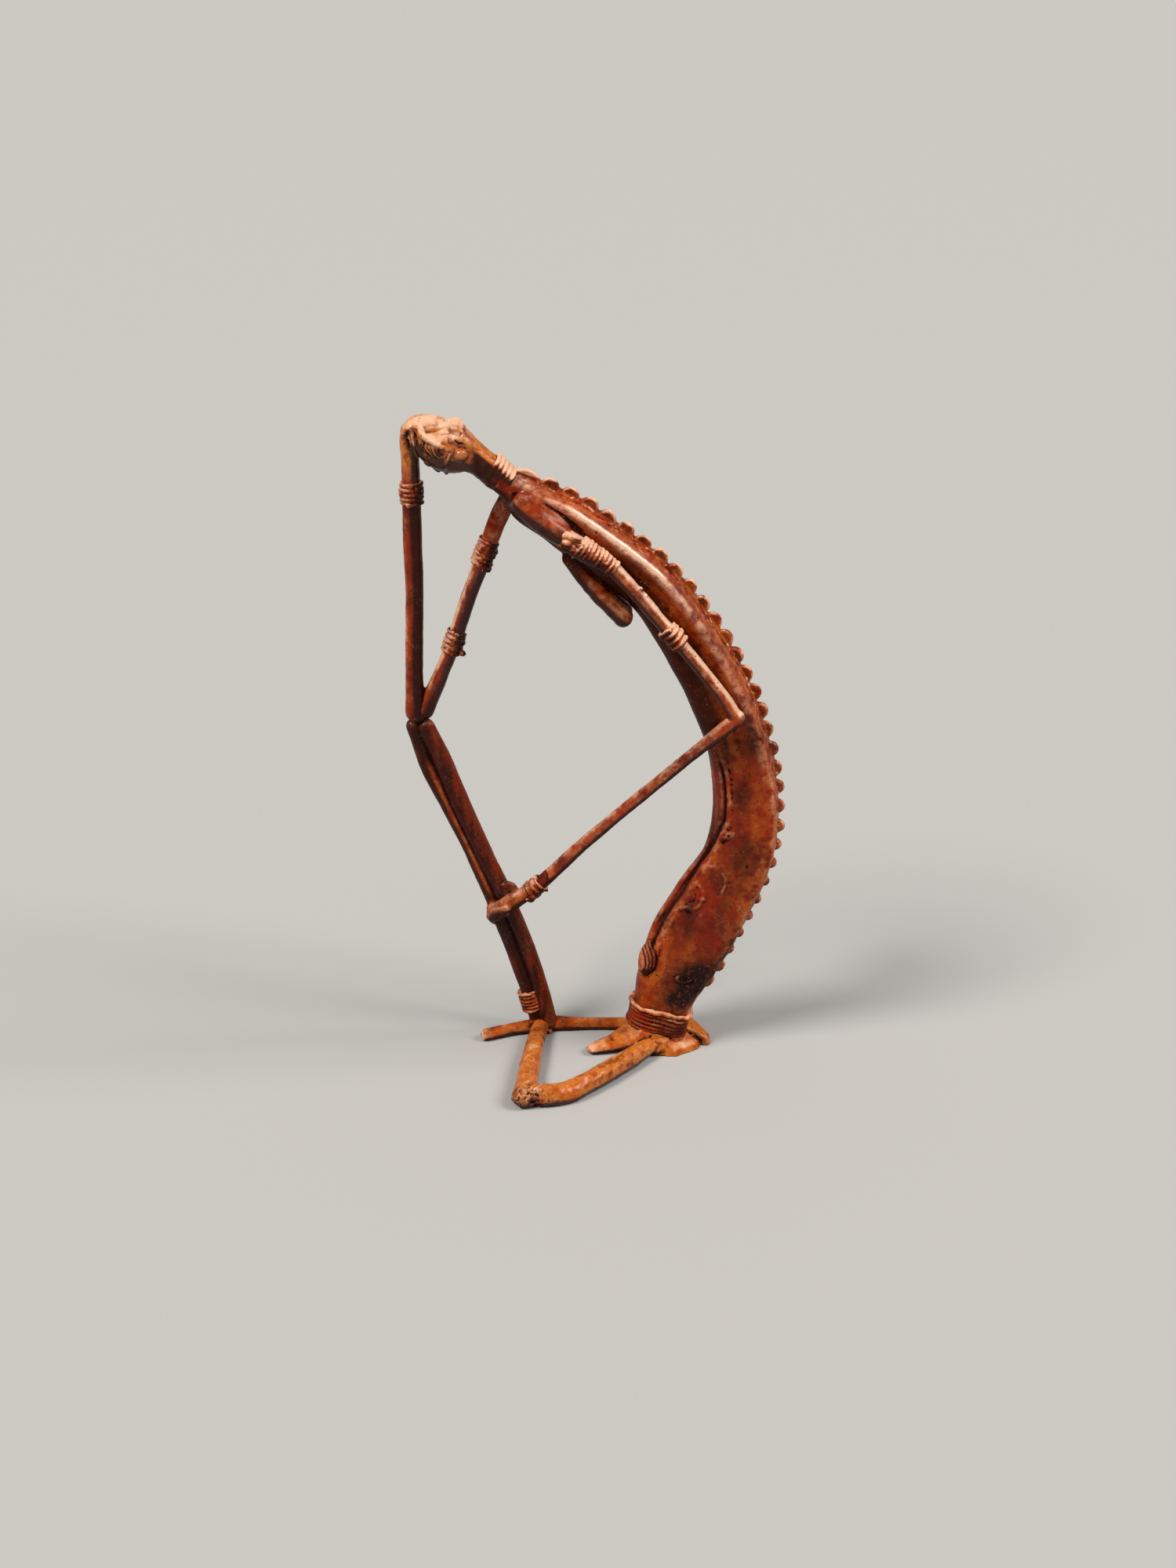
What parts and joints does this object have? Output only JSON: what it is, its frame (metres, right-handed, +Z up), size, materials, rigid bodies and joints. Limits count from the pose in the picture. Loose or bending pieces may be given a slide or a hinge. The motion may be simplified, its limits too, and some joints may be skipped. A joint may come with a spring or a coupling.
{
  "type": "nommo figure",
  "caption": "Slender seated spirit figure of round cast rods: arched back with a scalloped crest, head bowed into a raised hand, on an open foot frame and a spread tail fin.",
  "frame": {"origin": "middle of the footprint's bounding box, on the floor", "axes": "+Z up, the figure faces -X, its left side and the corner of the foot frame are towards -Y"},
  "size_m": [0.1654, 0.0857, 0.2889],
  "materials": {
    "patinated_bronze": "rust-red and ochre patina over cast copper alloy, satin to waxy, pale where it is handled or dusty"
  },
  "bodies": {
    "root": {"nommo_figure": "patinated_bronze"}
  },
  "joints": []
}
